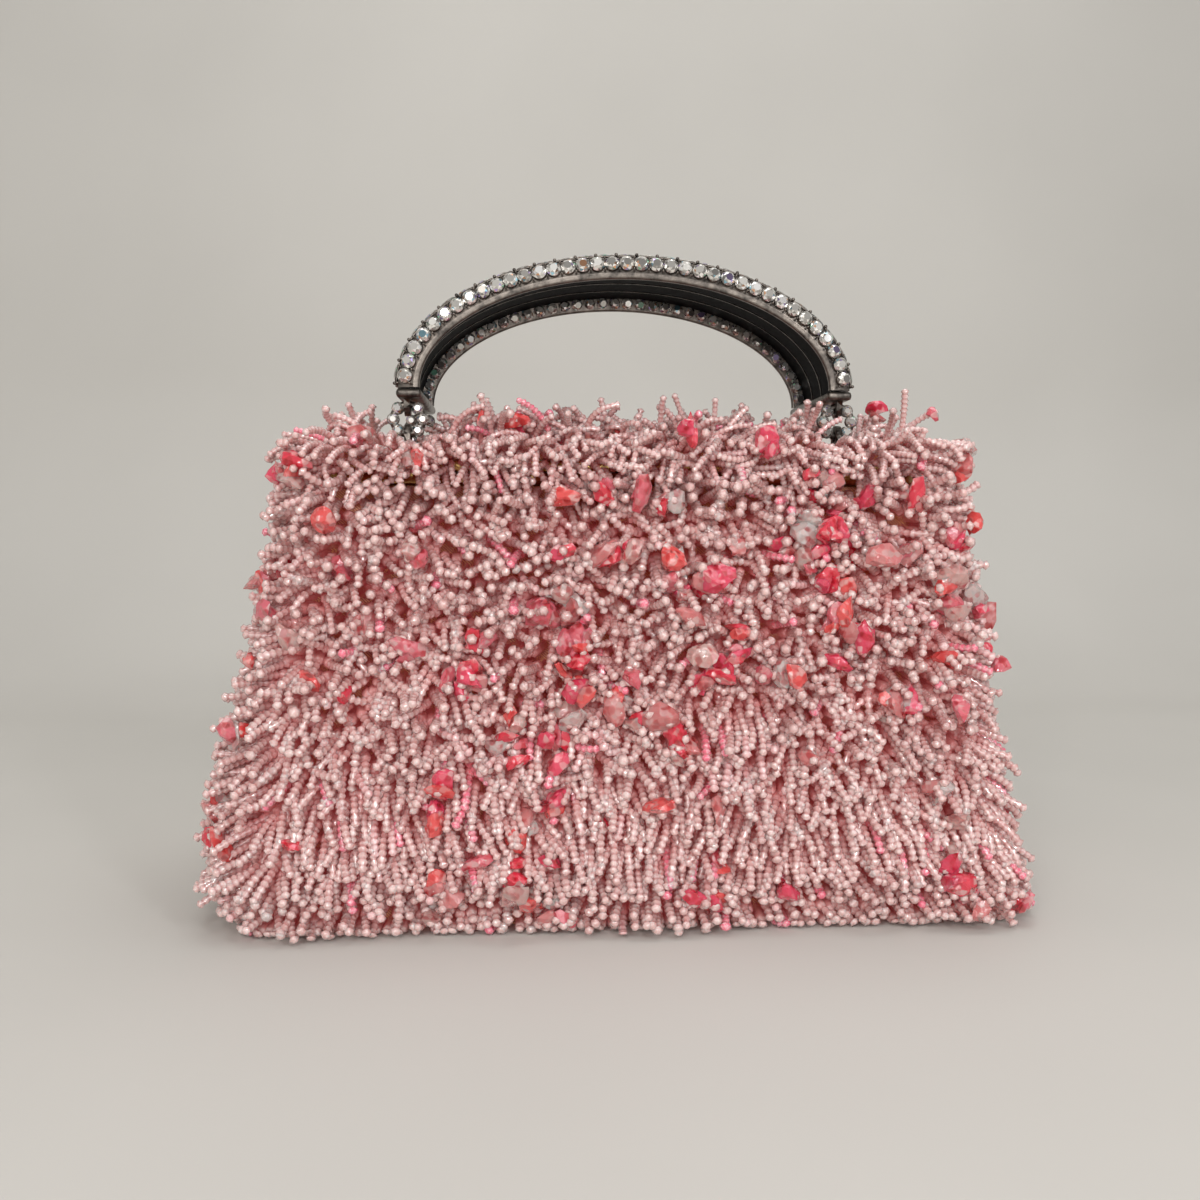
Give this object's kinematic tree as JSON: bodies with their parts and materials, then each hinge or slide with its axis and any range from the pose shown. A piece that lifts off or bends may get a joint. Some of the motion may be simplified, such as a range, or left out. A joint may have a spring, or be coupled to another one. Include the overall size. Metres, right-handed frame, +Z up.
{
  "type": "beaded handbag",
  "caption": "Structured tapering evening bag with a bead-fringe skin, a lid hinged at the back with a magnetic catch, and a wide arched stone-set handle on studded ring links.",
  "frame": {"origin": "on the floor under the middle of the bag", "axes": "+X to the bag's right seen from the front, +Y to the back, +Z up"},
  "size_m": [0.2168, 0.1011, 0.1792],
  "materials": {
    "gold_satin": "satin weave",
    "lining_satin": "satin weave",
    "brass": "polished",
    "steel": "plain",
    "gunmetal": "dark plated",
    "black_enamel": "gloss enamel",
    "rhinestone": "foiled cut glass",
    "pink_beads": "translucent pearly glass"
  },
  "bodies": {
    "bag": {"front_panel": "gold_satin", "back_panel": "gold_satin", "left_gusset": "gold_satin", "right_gusset": "gold_satin", "base_panel": "gold_satin", "lining": "lining_satin", "mouth_frame": "brass", "hinge_body_leaf": "brass", "hinge_pin": "brass", "catch_magnet": "steel", "front_fringe": "pink_beads", "back_fringe": "pink_beads", "left_fringe": "pink_beads", "right_fringe": "pink_beads"},
    "lid": {"lid_board": "gold_satin", "lid_rim": "brass", "lid_lining": "lining_satin", "lid_keeper": "steel", "hinge_lid_leaf": "brass", "handle_lug_front_left": "gunmetal", "handle_lug_front_right": "gunmetal", "handle_lug_back_left": "gunmetal", "handle_lug_back_right": "gunmetal", "lug_washer_front_left": "steel", "lug_washer_front_right": "steel", "lug_washer_back_left": "steel", "lug_washer_back_right": "steel", "lid_front_fringe": "pink_beads", "lid_left_fringe": "pink_beads", "lid_right_fringe": "pink_beads", "lid_top_fringe": "pink_beads", "lid_left_mat": "pink_beads", "lid_right_mat": "pink_beads"},
    "front_left_link": {"ring_link_front_left": "gunmetal"},
    "front_right_link": {"ring_link_front_right": "gunmetal"},
    "back_left_link": {"ring_link_back_left": "gunmetal"},
    "back_right_link": {"ring_link_back_right": "gunmetal"},
    "handle": {"handle_band": "gunmetal", "handle_liner": "black_enamel", "front_rim_stones": "rhinestone", "back_rim_stones": "rhinestone", "crown_stones": "rhinestone", "handle_end_left": "gunmetal", "handle_end_right": "gunmetal"}
  },
  "joints": [
    {"name": "lid_hinge", "type": "hinge", "parent": "bag", "child": "lid", "pos_m": [0, 0.0286, 0.11955], "axis": [-1, 0, 0], "range_deg": [0, 100]},
    {"name": "front_left_swing", "type": "hinge", "parent": "lid", "child": "front_left_link", "pos_m": [-0.0595, -0.017, 0.13], "axis": [1, 0, 0], "range_deg": [-40, 40]},
    {"name": "front_right_swing", "type": "hinge", "parent": "lid", "child": "front_right_link", "pos_m": [0.0595, -0.017, 0.13], "axis": [1, 0, 0], "range_deg": [-40, 40]},
    {"name": "back_left_swing", "type": "hinge", "parent": "lid", "child": "back_left_link", "pos_m": [-0.0595, 0.017, 0.13], "axis": [1, 0, 0], "range_deg": [-40, 40]},
    {"name": "back_right_swing", "type": "hinge", "parent": "lid", "child": "back_right_link", "pos_m": [0.0595, 0.017, 0.13], "axis": [1, 0, 0], "range_deg": [-40, 40]},
    {"name": "handle_rock", "type": "hinge", "parent": "front_left_link", "child": "handle", "pos_m": [-0.0595, -0.017, 0.138], "axis": [1, 0, 0], "range_deg": [-40, 40]}
  ],
  "couplings": [
    {"joint": "front_right_swing", "follows": "front_left_swing", "ratio": 1},
    {"joint": "back_left_swing", "follows": "front_left_swing", "ratio": 1},
    {"joint": "back_right_swing", "follows": "front_left_swing", "ratio": 1},
    {"joint": "handle_rock", "follows": "front_left_swing", "ratio": -1}
  ]
}
